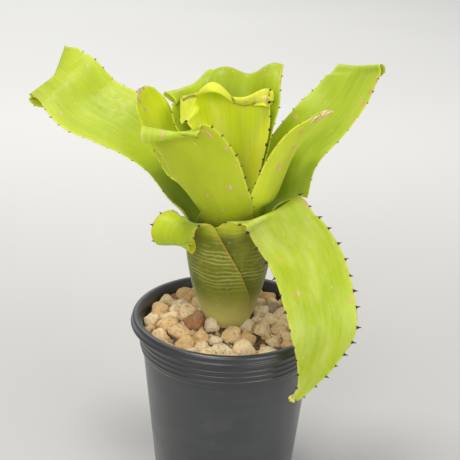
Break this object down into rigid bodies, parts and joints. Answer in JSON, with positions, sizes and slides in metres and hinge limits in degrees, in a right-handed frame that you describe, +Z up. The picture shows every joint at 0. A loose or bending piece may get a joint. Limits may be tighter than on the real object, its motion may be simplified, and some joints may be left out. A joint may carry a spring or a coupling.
{
  "type": "potted billbergia plant",
  "caption": "Small bromeliad with broad strap leaves rolled into an upright tube, rooted in pale pumice in a black plastic nursery pot.",
  "frame": {"origin": "centre of the pot's underside, on the surface it stands on", "axes": "+Z up along the pot's axis, -Y towards the viewer of the picture, +X to the viewer's right"},
  "size_m": [0.1902, 0.1274, 0.2543],
  "materials": {
    "pot": "satin black injection moulded polypropylene",
    "pumice_bed": "rough, porous, cream to tan stones",
    "stem": "dry brown bark",
    "leaf_front_curl": "yellow-green leaf with a soft sheen and grey scales outside",
    "leaf_drooping": "yellow-green leaf with a soft sheen and grey scales outside",
    "leaf_left": "yellow-green leaf with a soft sheen and grey scales outside",
    "leaf_right": "yellow-green leaf with a soft sheen and grey scales outside",
    "leaf_front": "yellow-green leaf with a soft sheen and grey scales outside",
    "leaf_front_right": "yellow-green leaf with a soft sheen and grey scales outside",
    "leaf_left_inner": "yellow-green leaf with a soft sheen and grey scales outside",
    "leaf_back_left": "yellow-green leaf with a soft sheen and grey scales outside",
    "leaf_back": "yellow-green leaf with a soft sheen and grey scales outside",
    "leaf_centre": "yellow-green leaf with a soft sheen and grey scales outside"
  },
  "bodies": {
    "root": {"pot": "pot", "pumice_bed": "pumice_bed", "stem": "stem", "leaf_front_curl": "leaf_front_curl", "leaf_drooping": "leaf_drooping", "leaf_left": "leaf_left", "leaf_right": "leaf_right", "leaf_front": "leaf_front", "leaf_front_right": "leaf_front_right", "leaf_left_inner": "leaf_left_inner", "leaf_back_left": "leaf_back_left", "leaf_back": "leaf_back", "leaf_centre": "leaf_centre"}
  },
  "joints": []
}
